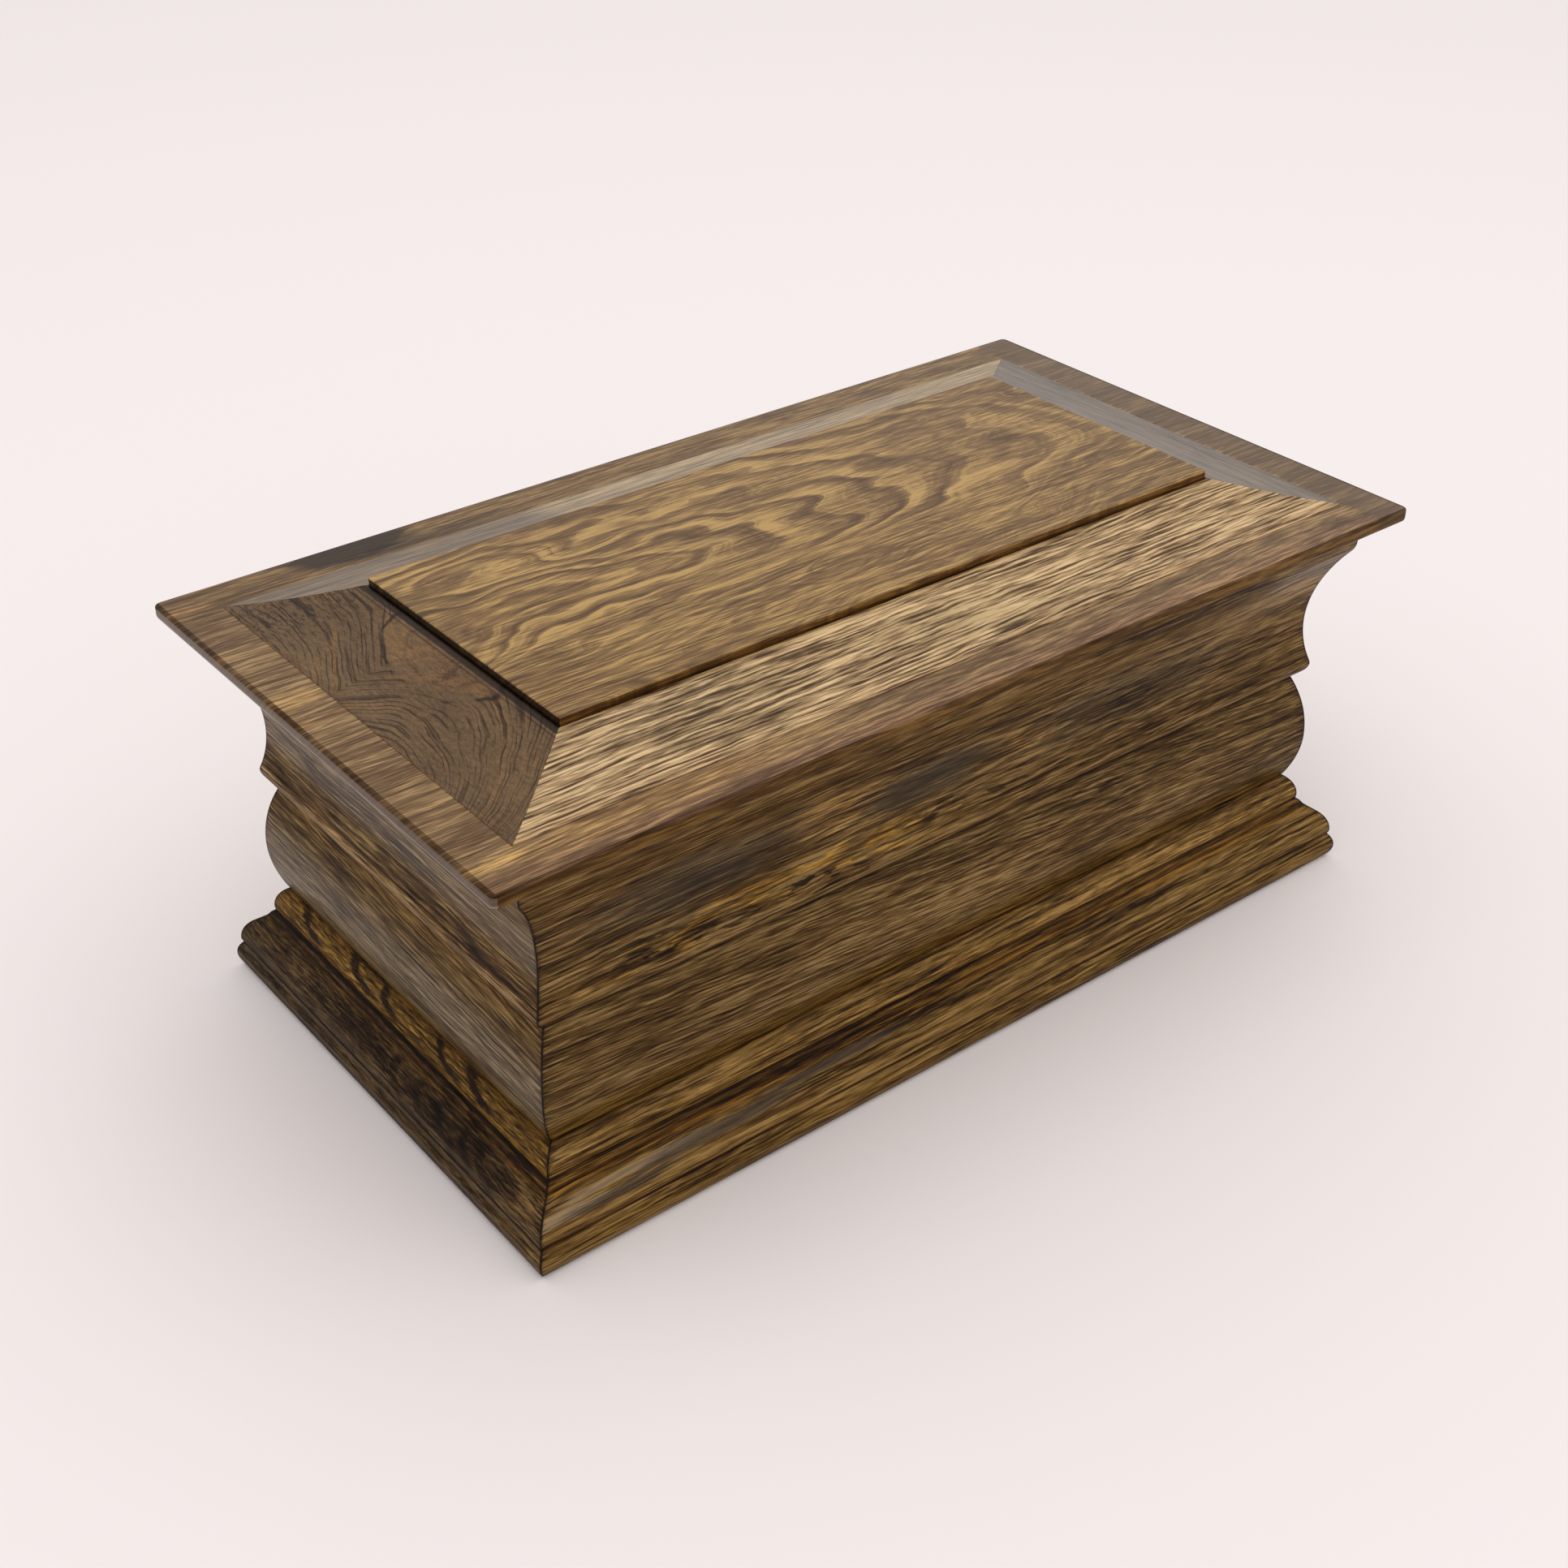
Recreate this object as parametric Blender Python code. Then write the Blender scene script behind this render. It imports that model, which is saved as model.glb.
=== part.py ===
"""Wooden cremation urn: a moulded box with mitred sides and a lift-off lid with a raised panel.

Metres, +Z up. The origin is the centre of the underside. The long sides face -Y (front) and +Y (back).
"""

import math

import bmesh
import bpy

MM = 0.001

# The space inside, and what it is enclosed by
CAVITY_LENGTH = 253.4 * MM
CAVITY_WIDTH = 118.6 * MM
WALL_THICKNESS = 10.0 * MM  # where the wall stands on the base
JOINT_GAP = 0.3 * MM  # between pieces that touch

# Bottom board, let into the underside of the base
BOTTOM_THICKNESS = 8.0 * MM
BOTTOM_RECESS = 1.5 * MM  # its underside above the ground
BOTTOM_LEDGE = 6.0 * MM  # how far the base covers the board's edge

# Base moulding. What stands proud is measured from the wall's foot line.
FOOT_BEAD_HEIGHT = 8.0 * MM
FOOT_BEAD_PROUD = 13.7 * MM
FOOT_BEAD_ROUND = 1.6 * MM  # how far the bead swells beyond its own edges
QUIRK_DEPTH = 0.7 * MM  # the groove between the foot bead and the ovolo
QUIRK_HEIGHT = 0.5 * MM
OVOLO_HEIGHT = 9.0 * MM
OVOLO_SETBACK = 1.4 * MM  # behind the foot bead
OVOLO_FALL = 4.9 * MM  # how far the ovolo draws in from its crest to its top
OVOLO_CREST_RISE = 1.0 * MM
SHOULDER_HEIGHT = 3.3 * MM
SHOULDER_ROUND = 1.3 * MM
NECK_BEAD_HEIGHT = 8.4 * MM
NECK_BEAD_PROUD = 3.9 * MM
NECK_BEAD_CREST_RISE = 1.4 * MM

# Swelling wall
BELLY_PROUD = 3.5 * MM
BELLY_LOW_HEIGHT = 15.0 * MM  # from the wall's foot up to where it is widest
BELLY_TOP_HEIGHT = 21.8 * MM
BELLY_TOP_SETBACK = 2.0 * MM  # the hidden top edge behind the foot line

# Crown moulding
LIP_PROUD = 2.5 * MM
LIP_HEIGHT = 3.5 * MM
LIP_ROUND = 1.8 * MM
COVE_LOW_HEIGHT = 14.3 * MM  # from the lip up to where the hollow is deepest
COVE_TOP_HEIGHT = 24.1 * MM
COVE_SETBACK = 0.1 * MM
CROWN_EDGE_HEIGHT = 8.85 * MM
CROWN_EDGE_PROUD = 8.5 * MM
CROWN_EDGE_ROUND = 0.65 * MM
CROWN_EDGE_ROUND_HEIGHT = 2.9 * MM

# Lid
LID_OVERHANG_AT_ENDS = 19.3 * MM  # beyond the wall's foot line
LID_OVERHANG_AT_SIDES = 16.7 * MM
LID_BOARD_THICKNESS = 4.35 * MM
LID_TOP_ARRIS_SHARE = 0.2  # of the board's thickness
LID_LOW_ARRIS_SHARE = 0.32
LID_CORNER_RADIUS = 0.6 * MM  # of the corners of the board's underside
LID_BORDER = 13.7 * MM  # flat, from the lid's edge to the slopes
SLOPE_WIDTH_AT_ENDS = 30.5 * MM
SLOPE_WIDTH_AT_SIDES = 26.4 * MM
SLOPE_RISE = 6.85 * MM
SLOPE_HOLLOW = 0.6 * MM
SLOPE_OUTER_EDGE = 0.15 * MM
SLOPE_INNER_LEDGE = 1.2 * MM  # a narrow, nearly level strip beside the panel
SLOPE_LEDGE_RISE = 0.4 * MM
PANEL_STEP = 2.3 * MM  # the panel's top above the slopes
PANEL_ARRIS = 0.4 * MM

# Fineness of the curves, in steps to each arc
FINE_STEPS = 5
MEDIUM_STEPS = 8
BROAD_STEPS = 12
SMOOTH_LIMIT = math.radians(25.0)

# Outward direction of each side
SIDES = {"front": (0, -1), "right": (1, 0), "back": (0, 1), "left": (-1, 0)}

# Finish: base colour and roughness
BASE_WOOD = ((0.140, 0.082, 0.026), 0.42)
WALL_WOOD = ((0.105, 0.062, 0.024), 0.40)
CROWN_WOOD = ((0.098, 0.060, 0.027), 0.40)
BOTTOM_WOOD = ((0.190, 0.120, 0.055), 0.60)
LID_BOARD_WOOD = ((0.200, 0.130, 0.070), 0.38)
SLOPE_WOOD = ((0.250, 0.170, 0.090), 0.38)
PANEL_WOOD = ((0.215, 0.135, 0.055), 0.36)


def upright_arc(start, crest, steps):
    """Points from start to crest, along the circle that stands upright at the crest."""
    depth = crest[0] - start[0]
    rise = crest[1] - start[1]
    radius = (depth**2 + rise**2) / (2 * abs(depth))
    turn = math.atan2(abs(rise), radius - abs(depth))
    points = []
    for step in range(steps + 1):
        angle = turn * (1 - step / steps)
        across = math.copysign(radius * (1 - math.cos(angle)), depth)
        up = math.copysign(radius * math.sin(angle), rise)
        points.append((crest[0] - across, crest[1] - up))
    return points


def swell(low, crest, high, steps):
    """Points up a bead, a belly or a hollow: two upright arcs that meet at the crest."""
    upper = upright_arc(high, crest, steps)
    return upright_arc(low, crest, steps) + upper[-2::-1]


def bowed(start, end, bow, steps):
    """Points after start, along a shallow curve to end that bows to the left by bow."""
    run = (end[0] - start[0], end[1] - start[1])
    length = math.hypot(*run)
    points = []
    for step in range(1, steps + 1):
        share = step / steps
        lift = 4 * bow * share * (1 - share) / length
        points.append((start[0] + run[0] * share - run[1] * lift, start[1] + run[1] * share + run[0] * lift))
    return points


def body_corner(reach):
    """Half length and half width of the plan that stands out from the cavity's faces by reach."""
    return CAVITY_LENGTH / 2 + reach, CAVITY_WIDTH / 2 + reach


def lid_corner(inset):
    """Half length and half width of the plan that lies within the lid's edge by inset."""
    half_length, half_width = body_corner(WALL_THICKNESS - inset)
    return half_length + LID_OVERHANG_AT_ENDS, half_width + LID_OVERHANG_AT_SIDES


def slope_corner(share):
    """Half length and half width of the lid's slopes: share 0 at their outer edge, 1 at their inner."""
    half_length, half_width = lid_corner(LID_BORDER)
    run_at_ends = SLOPE_WIDTH_AT_ENDS - JOINT_GAP
    run_at_sides = SLOPE_WIDTH_AT_SIDES - JOINT_GAP
    return half_length - share * run_at_ends, half_width - share * run_at_sides


def base_section():
    """The base moulding's section, as (reach, height) from the cavity's face and the ground."""
    line = WALL_THICKNESS
    ledge_height = BOTTOM_RECESS + BOTTOM_THICKNESS + JOINT_GAP
    bead_crest = (line + FOOT_BEAD_PROUD, FOOT_BEAD_HEIGHT / 2)
    bead_edge = bead_crest[0] - FOOT_BEAD_ROUND
    ovolo_foot = FOOT_BEAD_HEIGHT + QUIRK_HEIGHT
    ovolo_crest = (bead_crest[0] - OVOLO_SETBACK, ovolo_foot + OVOLO_CREST_RISE)
    ovolo_top = (ovolo_crest[0] - OVOLO_FALL, ovolo_foot + OVOLO_HEIGHT)
    shoulder_top = (line + NECK_BEAD_PROUD - NECK_BEAD_CREST_RISE / 4, ovolo_top[1] + SHOULDER_HEIGHT)
    shoulder_edge = (shoulder_top[0] + SHOULDER_ROUND, shoulder_top[1] - SHOULDER_ROUND / 2)
    neck_crest = (line + NECK_BEAD_PROUD, shoulder_top[1] + NECK_BEAD_CREST_RISE)
    top = shoulder_top[1] + NECK_BEAD_HEIGHT
    section = [(0, ledge_height), (BOTTOM_LEDGE, ledge_height), (BOTTOM_LEDGE, 0)]
    section += swell((bead_edge, 0), bead_crest, (bead_edge, FOOT_BEAD_HEIGHT), FINE_STEPS)
    section += [(ovolo_crest[0] - QUIRK_DEPTH, ovolo_foot)]
    section += swell((ovolo_crest[0] - QUIRK_DEPTH / 3, ovolo_foot), ovolo_crest, ovolo_top, MEDIUM_STEPS)
    section += bowed(ovolo_top, shoulder_edge, SHOULDER_ROUND / 5, FINE_STEPS)
    section += bowed(shoulder_edge, shoulder_top, -SHOULDER_ROUND / 6, FINE_STEPS)
    section += swell(shoulder_top, neck_crest, (line, top), MEDIUM_STEPS)[1:]
    section += [(0, top)]
    return section


def wall_section():
    """The swelling wall's section, as (reach, height) from the cavity's face and the wall's foot."""
    line = WALL_THICKNESS
    top = BELLY_LOW_HEIGHT + BELLY_TOP_HEIGHT
    crest = (line + BELLY_PROUD, BELLY_LOW_HEIGHT)
    section = [(0, 0)]
    section += swell((line, 0), crest, (line - BELLY_TOP_SETBACK, top), BROAD_STEPS)
    section += [(0, top)]
    return section


def crown_section():
    """The crown moulding's section, as (reach, height) from the cavity's face and the lip's underside."""
    line = WALL_THICKNESS
    lip = (line + LIP_PROUD, LIP_HEIGHT)
    hollow = (line - COVE_SETBACK, LIP_HEIGHT + COVE_LOW_HEIGHT)
    cove_top = (line + CROWN_EDGE_PROUD - CROWN_EDGE_ROUND, hollow[1] + COVE_TOP_HEIGHT)
    edge = (line + CROWN_EDGE_PROUD, cove_top[1] + CROWN_EDGE_ROUND_HEIGHT)
    top = cove_top[1] + CROWN_EDGE_HEIGHT
    section = [(0, 0)]
    section += upright_arc((lip[0] - LIP_ROUND, 0), lip, FINE_STEPS)
    section += swell(lip, hollow, cove_top, BROAD_STEPS)[1:]
    section += upright_arc(cove_top, edge, FINE_STEPS)[1:]
    section += [(edge[0], top), (0, top)]
    return section


def slope_section():
    """A lid slope's section, as (share of its width, height) from its outer edge and the lid board."""
    ledge_share = SLOPE_INNER_LEDGE / SLOPE_WIDTH_AT_SIDES
    ledge_edge = (1 - ledge_share, SLOPE_OUTER_EDGE + SLOPE_RISE)
    section = [(1, 0), (0, 0), (0, SLOPE_OUTER_EDGE)]
    for step in range(1, MEDIUM_STEPS + 1):
        part = step / MEDIUM_STEPS
        sag = 4 * SLOPE_HOLLOW * part * (1 - part)
        section.append((ledge_edge[0] * part, SLOPE_OUTER_EDGE + SLOPE_RISE * part - sag))
    section += [(1, ledge_edge[1] + SLOPE_LEDGE_RISE)]
    return section


def mitred_rings(side, section, corner):
    """The section's outline at the two mitred ends of one side."""
    out_x, out_y = SIDES[side]
    cut = JOINT_GAP / math.sqrt(2)
    rings = []
    for end in (-1, 1):
        ring = []
        for measure, height in section:
            half_length, half_width = corner(measure)
            out, along = (half_length, half_width) if out_x else (half_width, half_length)
            along = end * (along - cut)
            ring.append((out_x * out - out_y * along, out_y * out + out_x * along, height))
        rings.append(ring)
    return rings


def rectangle_ring(half_length, half_width, height, radius=0.0):
    """A rectangle's outline at one height, with corners rounded to radius."""
    steps = FINE_STEPS if radius else 0
    ring = []
    for quarter, (sign_x, sign_y) in enumerate(((1, 1), (-1, 1), (-1, -1), (1, -1))):
        for step in range(steps + 1):
            angle = math.pi / 2 * (quarter + (step / steps if steps else 0))
            ring.append(
                (
                    sign_x * (half_length - radius) + radius * math.cos(angle),
                    sign_y * (half_width - radius) + radius * math.sin(angle),
                    height,
                )
            )
    return ring


def lid_board_rings():
    """Outlines up the lid board, with both arrises rounded."""
    low_arris = LID_LOW_ARRIS_SHARE * LID_BOARD_THICKNESS
    top_arris = LID_TOP_ARRIS_SHARE * LID_BOARD_THICKNESS
    edge = []
    for step in range(FINE_STEPS + 1):
        angle = math.pi / 2 * step / FINE_STEPS
        edge.append((low_arris * (1 - math.sin(angle)), low_arris * (1 - math.cos(angle))))
    for step in range(FINE_STEPS + 1):
        angle = math.pi / 2 * step / FINE_STEPS
        rise = LID_BOARD_THICKNESS - top_arris * (1 - math.sin(angle))
        edge.append((top_arris * (1 - math.cos(angle)), rise))
    radius = LID_CORNER_RADIUS + max(low_arris, top_arris)
    return [rectangle_ring(*lid_corner(inset), height, radius - inset) for inset, height in edge]


def panel_rings():
    """Outlines up the raised panel, with a small chamfer round its top."""
    half_length, half_width = lid_corner(LID_BORDER)
    half_length -= SLOPE_WIDTH_AT_ENDS
    half_width -= SLOPE_WIDTH_AT_SIDES
    height = SLOPE_OUTER_EDGE + SLOPE_RISE + SLOPE_LEDGE_RISE + PANEL_STEP
    return [
        rectangle_ring(half_length, half_width, 0),
        rectangle_ring(half_length, half_width, height - PANEL_ARRIS),
        rectangle_ring(half_length - PANEL_ARRIS, half_width - PANEL_ARRIS, height),
    ]


def bottom_board_rings():
    """Outlines up the bottom board, which fits the base's rebate with a gap all round."""
    half_length, half_width = body_corner(BOTTOM_LEDGE - JOINT_GAP)
    return [rectangle_ring(half_length, half_width, height) for height in (0, BOTTOM_THICKNESS)]


def varnished_wood(name, finish):
    """A plain varnished wood for one piece."""
    colour, roughness = finish
    material = bpy.data.materials.new(name + "_wood")
    material.use_nodes = True
    shader = material.node_tree.nodes["Principled BSDF"]
    shader.inputs["Base Color"].default_value = (*colour, 1.0)
    shader.inputs["Roughness"].default_value = roughness
    shader.inputs["Metallic"].default_value = 0.0
    return material


def add_holder(name, level):
    """An empty that carries the pieces of one assembly."""
    holder = bpy.data.objects.new(name, None)
    holder.location.z = level
    bpy.context.collection.objects.link(holder)
    return holder


def add_piece(name, rings, level, holder, finish):
    """A closed solid through matching outlines, at a level above its holder."""
    mesh = bpy.data.meshes.new(name)
    form = bmesh.new()
    loops = [[form.verts.new(point) for point in ring] for ring in rings]
    form.faces.new(loops[0])
    form.faces.new(loops[-1])
    for low, high in zip(loops, loops[1:]):
        for index in range(len(low)):
            form.faces.new((low[index - 1], low[index], high[index], high[index - 1]))
    bmesh.ops.recalc_face_normals(form, faces=form.faces)
    form.to_mesh(mesh)
    form.free()
    mesh.shade_smooth()
    mesh.set_sharp_from_angle(angle=SMOOTH_LIMIT)
    mesh.materials.append(varnished_wood(name, finish))
    piece = bpy.data.objects.new(name, mesh)
    piece.location.z = level
    piece.parent = holder
    bpy.context.collection.objects.link(piece)


def add_frame(name, section, corner, level, holder, finish):
    """Four mitred lengths of one moulding, one to each side."""
    for side in SIDES:
        add_piece(f"{name}_{side}", mitred_rings(side, section, corner), level, holder, finish)


def height_of(section):
    return max(height for _, height in section)


def build_urn():
    """The whole urn, from the ground up."""
    base, wall, crown = base_section(), wall_section(), crown_section()
    wall_level = height_of(base) + JOINT_GAP
    crown_level = wall_level + height_of(wall) + JOINT_GAP
    lid_level = crown_level + height_of(crown) + JOINT_GAP
    on_board = LID_BOARD_THICKNESS + JOINT_GAP

    box = add_holder("box", 0)
    add_piece("bottom_board", bottom_board_rings(), BOTTOM_RECESS, box, BOTTOM_WOOD)
    add_frame("base", base, body_corner, 0, box, BASE_WOOD)
    add_frame("wall", wall, body_corner, wall_level, box, WALL_WOOD)
    add_frame("crown", crown, body_corner, crown_level, box, CROWN_WOOD)

    lid = add_holder("lid", lid_level)
    add_piece("lid_board", lid_board_rings(), 0, lid, LID_BOARD_WOOD)
    add_frame("lid_slope", slope_section(), slope_corner, on_board, lid, SLOPE_WOOD)
    add_piece("lid_panel", panel_rings(), on_board, lid, PANEL_WOOD)


def clear_scene():
    for item in list(bpy.data.objects):
        bpy.data.objects.remove(item, do_unlink=True)


clear_scene()
build_urn()
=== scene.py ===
"""Wooden cremation urn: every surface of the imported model, finished as varnished wood on a pale floor.

Metres in the frame, millimetres inside the materials. The long sides face -Y (front) and +Y (back).
"""

import collections
import math

import bmesh
import bpy
from mathutils import Matrix, Vector


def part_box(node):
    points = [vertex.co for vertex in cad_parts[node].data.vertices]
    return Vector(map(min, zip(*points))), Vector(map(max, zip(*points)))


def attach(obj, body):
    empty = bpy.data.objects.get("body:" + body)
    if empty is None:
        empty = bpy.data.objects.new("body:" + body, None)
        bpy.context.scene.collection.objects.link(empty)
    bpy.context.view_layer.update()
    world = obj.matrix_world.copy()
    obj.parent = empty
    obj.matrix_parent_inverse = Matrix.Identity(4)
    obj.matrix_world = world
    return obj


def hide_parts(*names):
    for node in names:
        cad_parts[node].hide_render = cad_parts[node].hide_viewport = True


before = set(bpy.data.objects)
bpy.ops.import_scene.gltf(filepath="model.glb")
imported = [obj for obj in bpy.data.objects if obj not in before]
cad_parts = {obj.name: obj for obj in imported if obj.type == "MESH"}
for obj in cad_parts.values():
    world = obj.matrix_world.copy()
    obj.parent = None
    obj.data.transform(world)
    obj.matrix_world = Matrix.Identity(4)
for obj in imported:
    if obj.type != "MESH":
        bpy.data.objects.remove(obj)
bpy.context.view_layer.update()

MM = 0.001
MM_IN_METRE = 1000

# Camera, as the photograph was taken
CAMERA_AZIMUTH = math.radians(-38.24)
CAMERA_ELEVATION = math.radians(32.80)
CAMERA_ROLL = math.radians(-0.09)
CAMERA_DISTANCE = 634.1 * MM
CAMERA_AIM = Vector((0, 0, 62.4 * MM))
CAMERA_ASIDE = -6.3 * MM
CAMERA_RAISED = -14.3 * MM
CAMERA_LENS = 49.43
CAMERA_SENSOR = 36.0
CAMERA_NEAREST = 10 * MM
CAMERA_FARTHEST = 50.0

# Sections of the mouldings, repeated from the part's own sizes
WALL_THICKNESS = 10.0 * MM
BOTTOM_LEDGE = 6.0 * MM
FOOT_BEAD_HEIGHT = 8.0 * MM
FOOT_BEAD_PROUD = 13.7 * MM
FOOT_BEAD_ROUND = 1.6 * MM
QUIRK_DEPTH = 0.7 * MM
QUIRK_HEIGHT = 0.5 * MM
OVOLO_HEIGHT = 9.0 * MM
OVOLO_SETBACK = 1.4 * MM
OVOLO_FALL = 4.9 * MM
OVOLO_CREST_RISE = 1.0 * MM
SHOULDER_HEIGHT = 3.3 * MM
SHOULDER_ROUND = 1.3 * MM
NECK_BEAD_PROUD = 3.9 * MM
NECK_BEAD_CREST_RISE = 1.4 * MM
BELLY_PROUD = 3.5 * MM
BELLY_LOW_HEIGHT = 15.0 * MM
BELLY_TOP_SETBACK = 2.0 * MM
LIP_PROUD = 2.5 * MM
LIP_HEIGHT = 3.5 * MM
LIP_ROUND = 1.8 * MM
COVE_LOW_HEIGHT = 14.3 * MM
COVE_TOP_HEIGHT = 24.1 * MM
COVE_SETBACK = 0.1 * MM
CROWN_EDGE_PROUD = 8.5 * MM
CROWN_EDGE_ROUND = 0.65 * MM
CROWN_EDGE_ROUND_HEIGHT = 2.9 * MM
LID_TOP_ARRIS_SHARE = 0.2
LID_LOW_ARRIS_SHARE = 0.32
LID_CORNER_RADIUS = 0.6 * MM
SLOPE_HOLLOW = 0.6 * MM
SLOPE_OUTER_EDGE = 0.15 * MM
SLOPE_INNER_LEDGE = 1.2 * MM
SLOPE_LEDGE_RISE = 0.4 * MM
PANEL_ARRIS = 0.4 * MM
PANEL_LOW_ARRIS = PANEL_ARRIS / 4
PANEL_CORNER_RADIUS = PANEL_ARRIS * 1.2
JOINT_GAP = 0.3 * MM

# The finished pieces meet more closely than the solids: how far each reaches into the gap between two,
# and how far its mitred ends stop short of the mitre
SEAM = 0.14 * MM
MITRE_CUT = 0.04 * MM

# Fineness of the finished pieces
ARC_STEPS = 24
SECTION_SPACING = 0.4 * MM
LENGTH_STEPS = 64
EASING_PASSES = 2
CORNER_STEPS = 8
ARRIS_STEPS = 8
SMALLEST_RADIUS = 0.05 * MM
SHARP_FROM = math.radians(40)

# Relief and shine that all the woods share
BUMP_STRENGTH = 0.5
BUMP_DISTANCE = 0.15 * MM
SPECULAR_LEVEL = 0.05
COAT_ROUGHNESS = 0.22

# Floor and light
FLOOR_REACH = 12.0
FLOOR_COLOUR = (0.88, 0.82, 0.81)
FLOOR_ROUGHNESS = 0.9
SKY_COLOUR = (1.0, 0.985, 0.98)
SKY_STRENGTH = 0.9
LAMP_PLACE = Vector((0.0, -0.25, 1.6))
LAMP_WIDTH = 1.8
LAMP_POWER = 7

# The turn that brings the front to each side
SIDE_TURNS = {"front": 0.0, "right": math.pi / 2, "back": math.pi, "left": -math.pi / 2}


class Link:
    """An output of a node. A sum written on it adds Math nodes to the same tree."""

    def __init__(self, tree, socket):
        self.tree = tree
        self.socket = socket

    def also(self, name):
        """Another output of the same node."""
        return Link(self.tree, self.socket.node.outputs[name])

    def math(self, operation, *values):
        return self.tree.math(operation, self, *values)

    def fade(self, start, end):
        """0 up to start and 1 from end on, eased between them. The two may stand the other way round."""
        values = {"Value": self, "From Min": start, "From Max": end}
        return self.tree.node("ShaderNodeMapRange", {"interpolation_type": "SMOOTHSTEP"}, values)

    def __add__(self, other):
        return self.math("ADD", other)

    def __radd__(self, other):
        return self.tree.math("ADD", other, self)

    def __sub__(self, other):
        return self.math("SUBTRACT", other)

    def __rsub__(self, other):
        return self.tree.math("SUBTRACT", other, self)

    def __mul__(self, other):
        return self.math("MULTIPLY", other)

    def __rmul__(self, other):
        return self.tree.math("MULTIPLY", other, self)

    def __truediv__(self, other):
        return self.math("DIVIDE", other)

    def __rtruediv__(self, other):
        return self.tree.math("DIVIDE", other, self)

    def __pow__(self, other):
        return self.math("POWER", other)

    def __neg__(self):
        return self.math("MULTIPLY", -1)

    def __abs__(self):
        return self.math("ABSOLUTE")


class Tree:
    """A node tree, of a material or of Geometry Nodes, and the one way to add a node to it."""

    def __init__(self, node_tree):
        self.node_tree = node_tree

    def node(self, kind, settings=None, values=None, output=0):
        """Adds a node: its settings first, then the values or links of its sockets. Returns one output."""
        node = self.node_tree.nodes.new(kind)
        for name, setting in (settings or {}).items():
            if name == "stops":
                self.fill_ramp(node.color_ramp, setting)
            else:
                setattr(node, name, setting)
        for name, value in (values or {}).items():
            if isinstance(value, Link):
                self.node_tree.links.new(value.socket, node.inputs[name])
            else:
                node.inputs[name].default_value = value
        return Link(self, node.outputs[output]) if node.outputs else None

    def math(self, operation, *values):
        return self.node("ShaderNodeMath", {"operation": operation}, dict(enumerate(values)))

    def vector(self, x, y, z):
        return self.node("ShaderNodeCombineXYZ", {}, {0: x, 1: y, 2: z})

    def blend(self, share, first, second, mode="MIX"):
        """A mix of two colours, which are links or plain (red, green, blue)."""
        first, second = [(*paint, 1.0) if isinstance(paint, tuple) else paint for paint in (first, second)]
        settings = {"data_type": "RGBA", "blend_type": mode}
        return self.node("ShaderNodeMix", settings, {0: share, 6: first, 7: second}, output=2)

    def waves(self, u, v, length, width, seed, detail=3.0):
        """Noise stretched to length by width, in millimetres, and centred on 0."""
        place = self.vector(u / length, v / width, seed)
        values = {"Vector": place, "Scale": 1.0, "Detail": detail, "Roughness": 0.55}
        return self.node("ShaderNodeTexNoise", {}, values) - 0.5

    @staticmethod
    def fill_ramp(ramp, stops):
        """Gives a colour ramp its stops, as (place, colour)."""
        while len(ramp.elements) > 1:
            ramp.elements.remove(ramp.elements[-1])
        for index, (place, colour) in enumerate(stops):
            stop = ramp.elements[0] if index == 0 else ramp.elements.new(place)
            stop.position = place
            stop.color = (*colour, 1.0)


def upright_arc(start, crest):
    """Points from start to crest, along the circle that stands upright at the crest."""
    depth = crest[0] - start[0]
    rise = crest[1] - start[1]
    radius = (depth**2 + rise**2) / (2 * abs(depth))
    turn = math.atan2(abs(rise), radius - abs(depth))
    points = []
    for step in range(ARC_STEPS + 1):
        angle = turn * (1 - step / ARC_STEPS)
        across = math.copysign(radius * (1 - math.cos(angle)), depth)
        up = math.copysign(radius * math.sin(angle), rise)
        points.append((crest[0] - across, crest[1] - up))
    return points


def swell(low, crest, high):
    """Points up a bead, a belly or a hollow: two upright arcs that meet at the crest."""
    upper = upright_arc(high, crest)
    return upright_arc(low, crest) + upper[-2::-1]


def bowed(start, end, bow):
    """Points after start, along a shallow curve to end that bows to the left by bow."""
    run = (end[0] - start[0], end[1] - start[1])
    length = math.hypot(*run)
    points = []
    for step in range(1, ARC_STEPS + 1):
        share = step / ARC_STEPS
        lift = 4 * bow * share * (1 - share) / length
        points.append((start[0] + run[0] * share - run[1] * lift, start[1] + run[1] * share + run[0] * lift))
    return points


def heights(node):
    """The lowest and highest level of a CAD node."""
    low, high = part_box(node)
    return low[2], high[2]


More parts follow.
